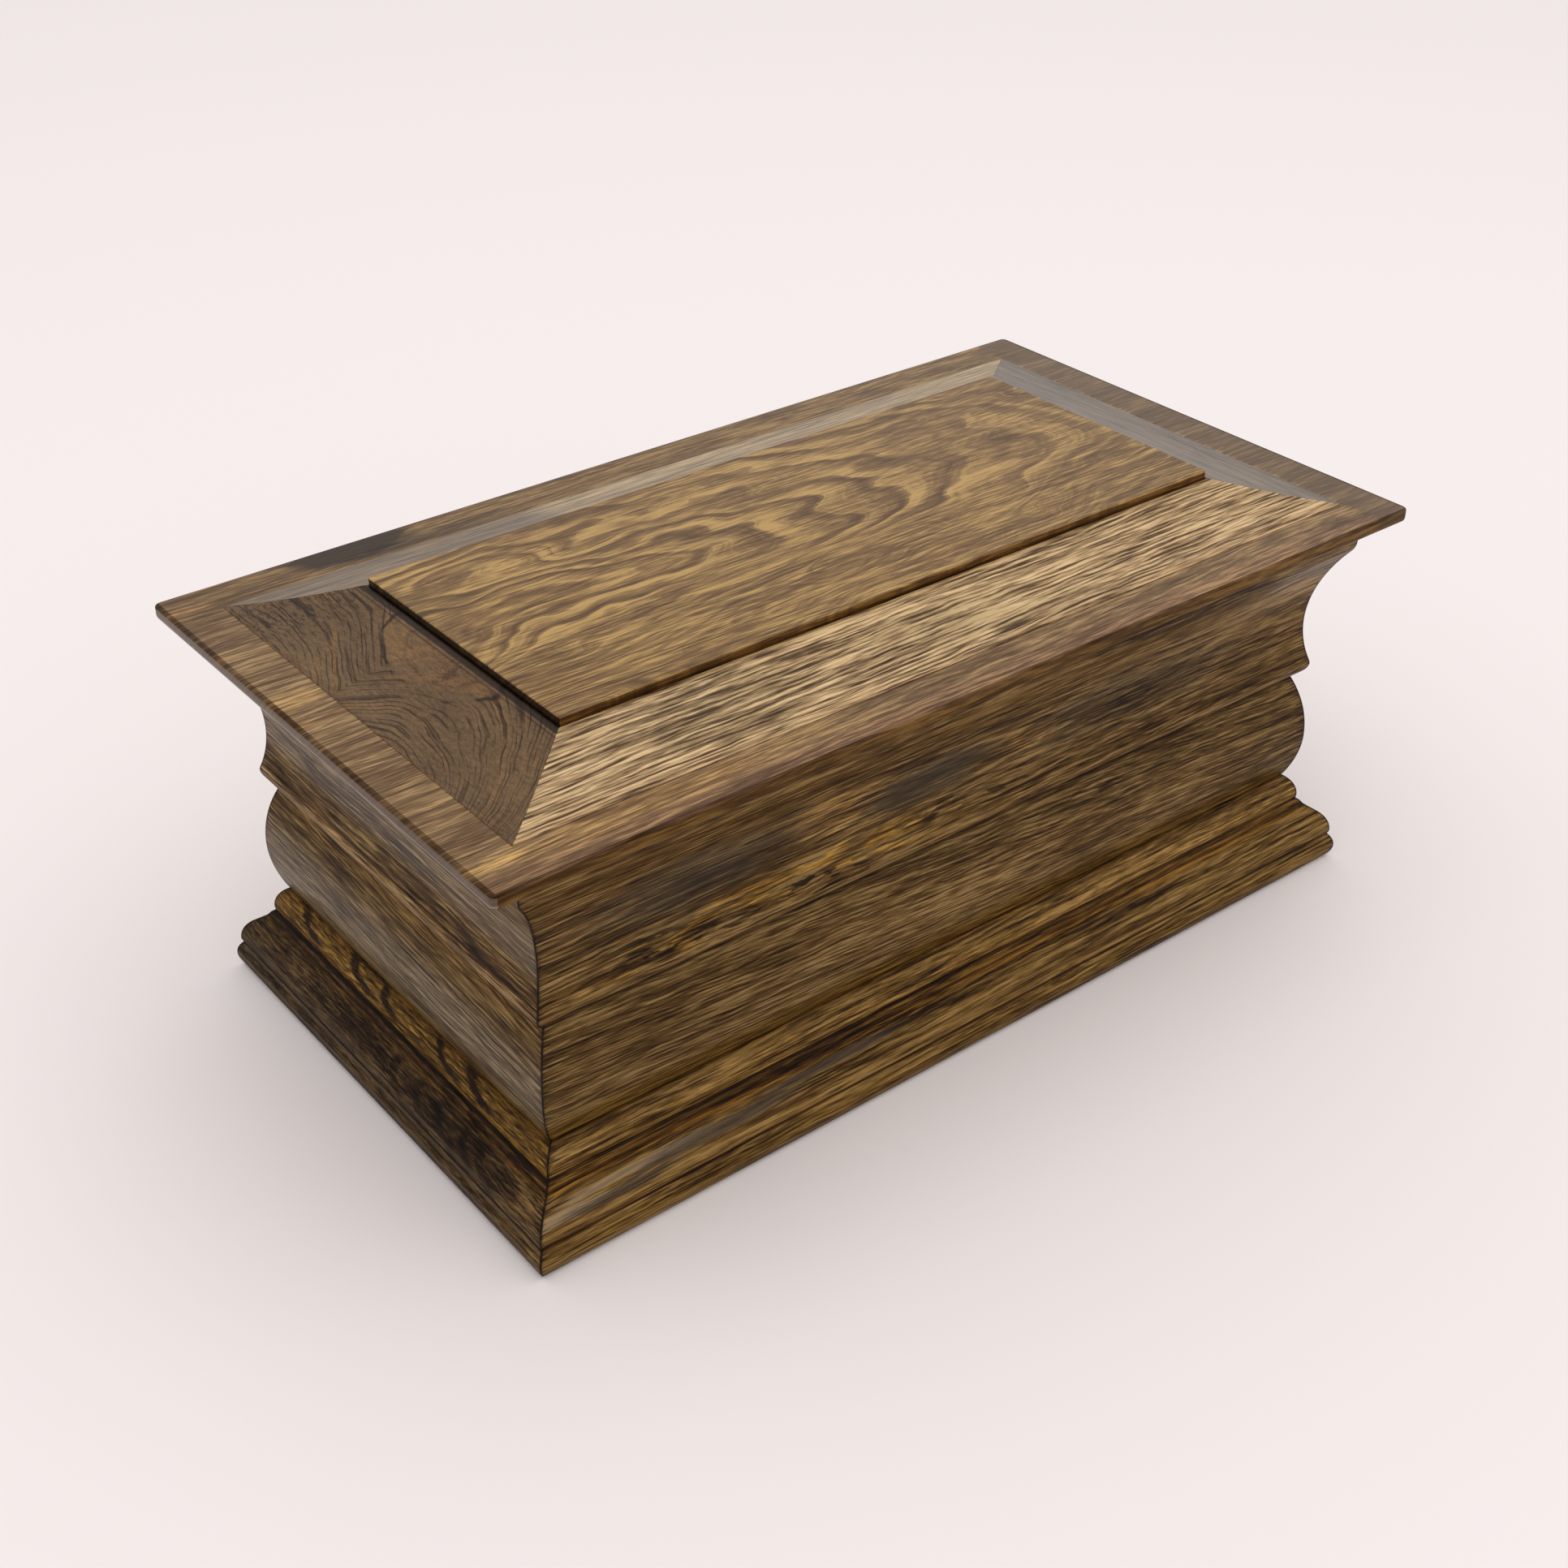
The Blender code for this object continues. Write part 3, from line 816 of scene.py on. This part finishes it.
def shining_belly(finish):
    """The left wall: its middle shines with a stronger varnish and a painted greyish reflection, painted
    shade darkens its foot, and a painted highlight runs below the lip.
    """
    shine = finish.v.fade(3, 7) * finish.v.fade(29, 21)
    finish.varnish(shine, 0.28)
    # Painted reflection: the shining middle is also tinted greyish blue
    finish.tint(shine, (1.15, 1.3, 1.9))
    # Painted shade along the foot, and a painted highlight along the top edge below the lip
    finish.tint(finish.line(0.2, 1.1, 0.9) * 0.8, DIRT_AND_SHADE)
    finish.stain(finish.line(36.3, 0.4, 0.5) * 0.4, (0.2, 0.16, 0.13))
    finish.tint(finish.v.fade(30, 33) * 0.5, (1.3, 1.15, 0.8))


def smoky_cove(finish):
    """The front of the crown: smoky drifts along the cove, with straw and gold between them, painted shade
    under the lip, and a painted sheen and a painted highlight along its upper edge toward the right end.
    """
    hazy = (0.62, 0.66, 0.85)
    straw = (1.75, 1.7, 1.55)
    gold = (1.75, 1.6, 0.85)
    finish.tint(finish.patch((-86, 23), (36, 11), 0.8, seed=1.1) * 0.8, (0.68, 0.72, 0.85))
    finish.stain(finish.patch((-92, 24), (32, 8), 0.7, seed=1.7) * 0.4, (0.052, 0.039, 0.026))
    finish.tint(finish.patch((-15, 22), (24, 8), 0.7, seed=2.1) * 0.85, (0.5, 0.53, 0.62))
    finish.stain(finish.patch((-14, 22), (20, 6), 0.6, seed=2.7) * 0.5, (0.042, 0.032, 0.023))
    finish.tint(finish.patch((62, 20), (40, 9), 0.8, seed=3.1) * 0.9, hazy)
    finish.tint(finish.patch((23, 20.5), (11, 2.6), 0.8, seed=4.1) * 0.9, (2.0, 2.0, 1.9))
    finish.tint(finish.patch((-45, 25), (17, 6), 0.8, seed=5.1) * 0.9, straw)
    flecks = finish.dark_dashes(11, 1.8, -0.05, 14.1)
    finish.tint(finish.patch((-50, 10), (85, 5), 0.8, seed=6.1) * flecks, gold)
    specks = finish.dark_dashes(8, 1.5, -0.03, 15.5)
    finish.tint(finish.patch((-55, 10), (80, 6), 0.6, seed=7.1) * specks, (0.1, 0.085, 0.1))
    finish.tint(finish.v.fade(40, 46) * 0.4, (0.8, 0.75, 0.6))
    # Painted shade under the lip
    finish.tint(finish.line(0.4, 1.0, 0.6) * 0.7, DIRT_AND_SHADE)
    finish.tint(finish.patch((112, 8), (26, 5), 1.0, seed=8.1) * 0.8, (0.45, 0.38, 0.3))
    # Painted sheen: the upper right end is tinted greyish over a stronger varnish, and a painted highlight
    # runs along the upper edge
    shine = finish.u.fade(85, 140) * finish.v.fade(24, 36)
    finish.varnish(shine, 0.25)
    finish.tint(shine, (1.2, 1.2, 1.3))
    finish.tint(finish.line(44.2, 0.6, 0.3) * finish.u.fade(20, 60) * 0.7, (1.7, 1.65, 1.6))


def shining_cove(finish):
    """The left of the crown: the cove's upper half shines with a stronger varnish and a painted greyish
    reflection over darker wood, its lip carries painted highlights, and painted shade lies in the crease
    above the lip.
    """
    shine = finish.v.fade(12, 17)
    finish.varnish(shine, 0.3)
    # Painted reflection: the shining upper half is also tinted greyish blue
    finish.tint(shine, (1.1, 1.25, 1.8))
    specks = finish.dark_dashes(9, 1.3, -0.04, 14.9)
    finish.tint(finish.patch((30, 9), (50, 4), 0.8, seed=1.1) * specks, (0.15, 0.13, 0.14))
    # Painted highlights: the lip is lightened and greyed, with pale lines along its arrises; painted shade
    # lies in the crease above it
    finish.tint(finish.v.fade(6.0, 5.2) * 0.9, (1.9, 2.0, 2.4))
    finish.tint(finish.line(6.4, 0.5, 0.7) * 0.7, DIRT_AND_SHADE)
    finish.stain(finish.line(4.0, 0.45, 0.8) * 0.55, (0.2, 0.15, 0.12))
    finish.stain(finish.line(0.9, 0.45, 0.6) * 0.5, (0.17, 0.13, 0.1))


def greenish_patches(finish):
    """The front slope: where the grain lies dark and greenish, and its darker edges."""
    finish.tint(finish.patch((-72, 15), (24, 9), 1.0, seed=1.1) * 0.6, (0.62, 0.63, 0.58))
    finish.tint(finish.patch((0, 12), (24, 10), 1.0, seed=2.1) * 0.6, (0.64, 0.64, 0.59))
    finish.tint(finish.v.fade(5, 0) * 0.5, (0.75, 0.66, 0.6))
    finish.tint(finish.v.fade(24.5, 26.3) * 0.6, (0.5, 0.42, 0.3))


def back_slope_halves(finish):
    """The back slope: browner at the end that the photograph shows on the left."""
    finish.tint(finish.u.fade(40, 52), (0.5, 0.45, 0.42))


def pointed_figure(finish):
    """The left slope: dark lines that arch at the front end and fall into a pointed valley, above which the
    wood lies calm around a small knot."""
    tree = finish.tree
    u, v, seed = finish.u, finish.v, finish.seed
    valley = -12.5
    arch_length, arch_height = 32.5, 20
    sway = tree.waves(u, v, 30, 14, seed + 8.1, 1.0) * 6 + tree.waves(u, v, 7, 5, seed + 8.9, 1.0) * 1.2
    share = (u - valley) / arch_length
    arch = (2 * share - share**2) * arch_height
    rise = ((u - valley) * -0.55).math("SMOOTH_MIN", 13, 8)
    contour = v - arch.math("MAXIMUM", rise) + sway
    calm = finish.oval((-2, 27), (25, 11.5)) + tree.waves(u, v, 12, 6, seed + 9.9, 2.0) * 0.35
    rows = stripes(contour, 1.7, tree.waves(u, contour, 25, 2.5, 3.1) * 7)
    breaks = tree.waves(u, contour, 8, 1.2, seed + 9.3, 2.0).fade(-0.12, 0.1)
    finish.tint(rows.fade(0.3, 0.95) * breaks * calm.fade(0.85, 1.1) * 0.95, (0.28, 0.24, 0.22))
    bold = stripes(contour, 5.2, tree.waves(u, contour, 40, 3, 4.3) * 5)
    grown = tree.waves(u, contour, 16, 3, seed + 10.1, 2.0).fade(-0.1, 0.08)
    finish.tint(bold.fade(0.82, 0.98) * grown * calm.fade(0.85, 1.0) * 0.9, (0.3, 0.25, 0.22))
    finish.tint(abs(calm - 1).fade(0.055, 0.015) * grown * 0.95, (0.25, 0.2, 0.18))
    finish.tint(abs(calm - 0.62).fade(0.05, 0.01) * breaks * 0.6, (0.4, 0.34, 0.3))
    pores = tree.waves(u, v, 2.2, 0.7, seed + 11.3, 1.0).fade(0.02, 0.14) * u.fade(-30, -52)
    finish.tint(pores * 0.8, (0.35, 0.32, 0.28))
    knot = finish.patch((5.6, 24.5), (2.2, 2.6), 1.2)
    finish.tint(knot * 0.75, (0.35, 0.3, 0.28))
    finish.tint(tree.waves(u, contour, 40, 5, seed + 10.7).fade(0, 0.2) * 0.6, (1.5, 1.35, 1.05))
    finish.tint(calm.fade(0.9, 0.5) * 0.6, (1.15, 1.1, 1.1))
    # A dark line where the slope meets its ledge, then painted shade, near black, on the ledge beside the
    # panel
    finish.tint(finish.line(28.0, 0.4, 0.9) * 0.6, DIRT_AND_SHADE)
    finish.stain(v.fade(28.7, 29.1) * 0.85, SOOT_AND_SHADE)


def build_woods():
    """A wood for each side of each moulding."""
    wall = BODY._replace(
        middle=(0.1, 0.053, 0.014),
        light=(0.26, 0.162, 0.06),
        broad=(60, 9, 0.6),
        streak=(20, 0.65, 1.5),
        fibre=(8, 0.36, 1.6),
        rows=(1.25, 0.1),
        dash=(16, 0.5),
        dash_start=0.07,
        dash_depth=0.7,
        slant=0.05,
    )
    crown = BODY._replace(streak=(22, 0.75, 1.6), fibre=(8, 0.38, 1.5), dash=(16, 0.6))
    base = BODY._replace(
        dark=(0.018, 0.006, 0.001),
        middle=(0.145, 0.076, 0.017),
        light=(0.32, 0.19, 0.06),
        broad=(120, 8, 0.9),
        streak=(32, 1.0, 1.6),
        fibre=(8, 0.4, 1.4),
        dash=(30, 0.8),
        dash_start=0.05,
        dash_depth=0.8,
        drift=2.0,
    )
    base_left = base._replace(
        dark=(0.008, 0.004, 0.002),
        middle=(0.05, 0.027, 0.01),
        light=(0.135, 0.08, 0.03),
        streak=(11, 0.9, 1.6),
        fibre=(4, 0.4, 1.5),
        dash=(8, 0.7),
        coat=0.02,
    )
    crown_left = crown._replace(
        middle=(0.1, 0.05, 0.012), light=(0.27, 0.17, 0.06), streak=(22, 0.9, 2.0), dash_start=0.04
    )
    wall_left = wall._replace(
        dark=(0.014, 0.006, 0.002),
        middle=(0.083, 0.044, 0.011),
        light=(0.23, 0.145, 0.055),
        streak=(22, 0.8, 2.0),
        dash_start=0.04,
        dash_depth=0.8,
    )
    slope = Wood(
        dark=(0.075, 0.038, 0.014),
        middle=(0.35, 0.222, 0.107),
        light=(0.68, 0.48, 0.25),
        broad=(60, 8, 0.8),
        streak=(20, 0.9, 2.2),
        fibre=(9, 0.4, 1.4),
        rows=(1.35, 0.28),
        dash=(14, 0.65),
        dash_start=0.05,
        dash_depth=0.65,
        drift=3.0,
        slant=0.0,
        coat=0.25,
        roughness=0.45,
    )
    plain = {"rows": (1.5, 0.0), "streak": (22, 1.1, 1.8), "fibre": (8, 0.5, 1.4), "dash_depth": 0.2}
    slope_left = slope._replace(
        dark=(0.06, 0.028, 0.009),
        middle=(0.122, 0.07, 0.032),
        light=(0.185, 0.114, 0.052),
        broad=(40, 12, 0.6),
        streak=(3, 1.0, 0.8),
        fibre=(1.2, 0.4, 0.8),
        rows=(1.5, 0.0),
        dash_depth=0.2,
    )
    slope_right = slope._replace(
        dark=(0.06, 0.04, 0.025), middle=(0.12, 0.086, 0.056), light=(0.19, 0.13, 0.08), coat=0.5, **plain
    )
    slope_back = slope._replace(
        dark=(0.1, 0.06, 0.024), middle=(0.27, 0.18, 0.083), light=(0.48, 0.34, 0.17), coat=0.45, **plain
    )
    return {
        "base": {
            "front": moulding_wood("base_front", base, 1.7, [base_painted_shade_and_highlights, base_streaks]),
            "left": moulding_wood("base_left", base_left, 21.3, [base_painted_shade_and_highlights, base_stains_and_painted_light]),
            "right": moulding_wood("base_right", base, 41.9, [base_painted_shade_and_highlights]),
            "back": moulding_wood("base_back", base, 61.1, [base_painted_shade_and_highlights]),
        },
        "wall": {
            "front": moulding_wood("wall_front", wall, 81.7, [olive_foot]),
            "left": moulding_wood("wall_left", wall_left, 101.3, [shining_belly]),
            "right": moulding_wood("wall_right", wall, 121.9, [olive_foot]),
            "back": moulding_wood("wall_back", wall, 141.1, [olive_foot]),
        },
        "crown": {
            "front": moulding_wood("crown_front", crown, 161.7, [smoky_cove]),
            "left": moulding_wood("crown_left", crown_left, 181.3, [shining_cove]),
            "right": moulding_wood("crown_right", crown, 201.9),
            "back": moulding_wood("crown_back", crown, 221.1),
        },
        "lid_slope": {
            "front": moulding_wood("slope_front", slope, 241.7, [greenish_patches], False),
            "left": moulding_wood("slope_left", slope_left, 261.3, [pointed_figure], False),
            "right": moulding_wood("slope_right", slope_right, 281.9, [], False),
            "back": moulding_wood("slope_back", slope_back, 301.1, [back_slope_halves], False),
        },
    }


LID = Wood(
    dark=(0.085, 0.042, 0.016),
    middle=(0.165, 0.094, 0.041),
    light=(0.37, 0.23, 0.097),
    broad=(60, 6, 1.1),
    streak=(17, 0.9, 1.6),
    fibre=(7, 0.45, 1.4),
    rows=(1.6, 0.0),
    dash=(14, 0.8),
    dash_start=0.1,
    dash_depth=0.3,
    drift=4.0,
    slant=0.0,
    coat=0.25,
    roughness=0.4,
)


def board_place(tree):
    """A board's own x, y and z in millimetres."""
    place = tree.node("ShaderNodeTexCoord", {}, {}, output="Object")
    x = tree.node("ShaderNodeSeparateXYZ", {}, {0: place})
    return x * MM_IN_METRE, x.also("Y") * MM_IN_METRE, x.also("Z") * MM_IN_METRE


def board_wood():
    """The lid's board: its grain runs lengthways on all four borders. Its arrises and its edge are darker,
    and the left edge carries a painted greyish sheen and a painted highlight along its lower arris.
    """
    material, tree = new_material("lid_board_wood")
    x, y, z = board_place(tree)
    low, high = [corner / MM for corner in map(Vector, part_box("lid_board"))]
    finish = Finish(tree, LID, x, y + z, 321.7)
    finish.v = y
    finish.lay_colour()
    wear_and_highlight = (1.5, 1.45, 1.25)
    violet = (0.97, 0.88, 0.95)
    soot_patch = finish.patch((-99, 82), (22, 8.5), 0.2, seed=1.1)
    finish.stain(soot_patch * 0.94, (0.05, 0.037, 0.033))
    finish.varnish(soot_patch, 0.05)
    finish.tint(finish.patch((-75, 75), (26, 5), 0.6, seed=2.1) * 0.6, (0.5, 0.55, 0.7))
    finish.tint(finish.patch((-105, -76), (48, 5), 0.8, seed=3.1) * 0.8, (1.5, 1.45, 1.2))
    for place, reach in ((75.5, 2.5), (16, 5), (4, 1.5), (-75, 2)):
        finish.tint(finish.patch((-150, place), (9, reach), 0.4, seed=place / 10) * 0.7, wear_and_highlight)
    finish.stain(x.fade(142, 144) * 0.6, (0.105, 0.07, 0.043))
    finish.tint(y.fade(62, 68), (0.88, 0.86, 0.78))

    edge_x = abs(x) - high[0]
    edge_y = abs(y) - high[1]
    breaks = tree.waves(x, y, 26, 26, 323.9) * 1.5 + 0.8
    arris = (edge_x + 0.5).math("MAXIMUM", edge_y).fade(-0.9, -0.7) * z.fade(high[2] - 0.9, high[2] - 0.7)
    arris = arris * breaks.math("MINIMUM", 1.0)
    band = z.fade(high[2] - 0.7, high[2] - 0.9)
    side = edge_x.fade(-1.5, -1.2)
    finish.tint(y.fade(8 - high[1], 4 - high[1]) * (1 - band) * 0.8, violet)
    finish.tint(arris, (0.25, 0.19, 0.09))
    finish.varnish(arris, 0.03)
    finish.tint(band * (1 - side), (0.5, 0.42, 0.22))
    finish.varnish(band * (1 - side), 0.03)
    # Painted sheen: the left edge is stained greyish brown with fine lines over its grain
    lines = tree.waves(y, z, 30, 0.5, 325.1).fade(-0.2, 0.2)
    finish.stain(band * side * 0.85, tree.blend(lines, (0.07, 0.045, 0.03), (0.13, 0.09, 0.065)))
    # Painted highlight along the left edge's lower arris
    finish.stain(abs(z - low[2] - 1.1).fade(0.45, 0.15) * side * 0.7, (0.28, 0.22, 0.18))
    finish.shader()
    return material


def panel_wood():
    """The lid's panel: nested arches of growth rings that point to the right."""
    material, tree = new_material("lid_panel_wood")
    x, y, z = board_place(tree)
    low, high = [corner / MM for corner in map(Vector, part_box("lid_panel"))]
    tip = (-105, 6)
    ring_width = 6.2
    wood = LID._replace(
        dark=(0.092, 0.046, 0.017),
        middle=(0.198, 0.111, 0.04),
        light=(0.45, 0.28, 0.095),
        broad=(45, 12, 1.0),
        dash=(20, 0.6),
        dash_start=0.08,
        dash_depth=0.4,
    )
    along = x - tip[0]
    depth = along * 0.16 + along**2 * 0.0003 + 1.0
    bend = tree.waves(x, y, 60, 28, 341.7, 1.0) * 30 + tree.waves(x, y, 26, 13, 342.9, 1.0) * 14
    aside = y - tip[1] + bend
    radius = (aside**2 + depth**2) ** 0.5
    radius = radius + tree.waves(x, y, 60, 16, 344.1, 1.0) * 13 + tree.waves(x, y, 14, 3, 344.9, 2.0) * 1.2
    ring = (radius / ring_width).math("FRACT")
    rings = ring.fade(0.95, 0.1) + ring.fade(0.82, 1.0) * 0.6
    finish = Finish(tree, wood, x, y + z, 345.3)
    contour = tree.waves(x, radius, 30, 1.0, 346.5)
    front = y.fade(-10, -22)
    strength = (tree.waves(x, y, 45, 14, 347.9, 1.0) * 1.7 + 0.42) * (front * -0.8 + 1) * x.fade(130, 60)
    fine = tree.waves(x, finish.across, 26, 0.8, 348.7) * (front * 0.9 + 0.3)
    finish.tone = finish.tone * 0.72 + 0.14 + (rings - 0.5) * strength + contour * 0.8 + fine
    finish.lay_colour()
    for place, reach in (((-40, -38), (14, 7)), ((-93, 14), (9, 15)), ((-40, 4), (5, 9)), ((-3, 3), (5, 13))):
        finish.tint(finish.patch(place, reach, 0.7, seed=place[0] / 10) * 0.5, (0.58, 0.55, 0.55))
    for place, reach in (((-62, 4), (10, 6)), ((-20, 9), (14, 9)), ((20, 11), (14, 6)), ((45, 32), (55, 5))):
        finish.tint(finish.patch(place, reach, 0.7, seed=place[0] / 10) * 0.6, (1.4, 1.38, 1.2))

    # The edges are darker brown; painted shade makes the left edge near black and darkens the lower part of
    # every edge, where it meets the slopes
    side = z.fade(high[2] - 0.2, high[2] - 0.5)
    left = x.fade(low[0] + 0.3, low[0] + 0.1)
    finish.stain(side * left * 0.92, SOOT_AND_SHADE)
    finish.tint(side * (1 - left) * 0.9, (0.42, 0.3, 0.14))
    finish.tint(z.fade(high[2] - 1.6, high[2] - 2.0) * 0.8, DIRT_AND_SHADE)
    finish.shader()
    return material


def paint(name, colour, roughness):
    """A plain painted finish."""
    material, tree = new_material(name)
    values = {"Base Color": (*colour, 1.0), "Roughness": roughness}
    shader = tree.node("ShaderNodeBsdfPrincipled", {}, values)
    tree.node("ShaderNodeOutputMaterial", {}, {"Surface": shader})
    return material


def underside_wood():
    """The board that closes the box from below: paler wood without shine."""
    material, tree = new_material("bottom_wood")
    x, y, z = board_place(tree)
    wood = LID._replace(dark=(0.16, 0.1, 0.05), middle=(0.3, 0.2, 0.1), light=(0.45, 0.32, 0.18), coat=0.0)
    finish = Finish(tree, wood, x, y + z, 361.9)
    finish.lay_colour()
    finish.shader()
    return material


def build_pieces():
    """Every visible piece of the urn."""
    group = moulding_nodes()
    woods = build_woods()
    body = (-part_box("wall_left")[1][0], -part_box("wall_front")[1][1])
    sections = {"base": base_section(), "wall": wall_section(), "crown": crown_section()}
    for family, section in sections.items():
        add_mouldings(group, family, (section, section), body, (1.0, 1.0), woods[family])
    low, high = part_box("lid_slope_front")
    end_low, end_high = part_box("lid_slope_left")
    runs = (high[1] - low[1], end_high[0] - end_low[0])
    shares = (runs[1] / runs[0], runs[0] / runs[1])
    slopes = [[(-inset, height) for inset, height in slope_section(run)] for run in runs]
    add_mouldings(group, "lid_slope", slopes, (-end_low[0], -low[1]), shares, woods["lid_slope"])
    add_boards(board_wood(), panel_wood())
    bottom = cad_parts["bottom_board"]
    bottom.data.materials.clear()
    bottom.data.materials.append(underside_wood())


def add_camera():
    """The camera at the photograph's place."""
    azimuth, elevation, roll = CAMERA_AZIMUTH, CAMERA_ELEVATION, CAMERA_ROLL
    level = math.cos(elevation)
    back = Vector((math.sin(azimuth) * level, -math.cos(azimuth) * level, math.sin(elevation)))
    level_right = Vector((math.cos(azimuth), math.sin(azimuth), 0))
    level_up = back.cross(level_right)
    right = math.cos(roll) * level_right + math.sin(roll) * level_up
    up = math.cos(roll) * level_up - math.sin(roll) * level_right
    place = CAMERA_AIM + right * CAMERA_ASIDE + up * CAMERA_RAISED + back * CAMERA_DISTANCE
    data = bpy.data.cameras.new("camera")
    data.lens = CAMERA_LENS
    data.sensor_width = CAMERA_SENSOR
    data.clip_start = CAMERA_NEAREST
    data.clip_end = CAMERA_FARTHEST
    camera = bpy.data.objects.new("camera", data)
    camera.matrix_world = Matrix((right, up, back)).transposed().to_4x4()
    camera.location = place
    bpy.context.scene.collection.objects.link(camera)
    bpy.context.scene.camera = camera


def add_floor():
    """A plain pale floor."""
    mesh = bpy.data.meshes.new("floor")
    signs = ((-1, -1), (1, -1), (1, 1), (-1, 1))
    corners = [(FLOOR_REACH * across, FLOOR_REACH * back, 0) for across, back in signs]
    mesh.from_pydata(corners, [], [(0, 1, 2, 3)])
    floor = bpy.data.objects.new("floor", mesh)
    bpy.context.scene.collection.objects.link(floor)
    mesh.materials.append(paint("floor_paint", FLOOR_COLOUR, FLOOR_ROUGHNESS))


def add_lighting():
    """Bright surroundings and one broad square lamp above, aimed at the origin."""
    world = bpy.data.worlds.new("studio")
    world.use_nodes = True
    sky = world.node_tree.nodes["Background"]
    sky.inputs["Color"].default_value = (*SKY_COLOUR, 1.0)
    sky.inputs["Strength"].default_value = SKY_STRENGTH
    bpy.context.scene.world = world
    data = bpy.data.lights.new("overhead", "AREA")
    data.shape = "SQUARE"
    data.size = LAMP_WIDTH
    data.energy = LAMP_POWER
    lamp = bpy.data.objects.new("overhead", data)
    lamp.location = LAMP_PLACE
    lamp.rotation_euler = (-LAMP_PLACE).to_track_quat("-Z", "Y").to_euler()
    bpy.context.scene.collection.objects.link(lamp)
    bpy.context.scene.view_settings.view_transform = "Standard"


build_pieces()
add_camera()
add_floor()
add_lighting()
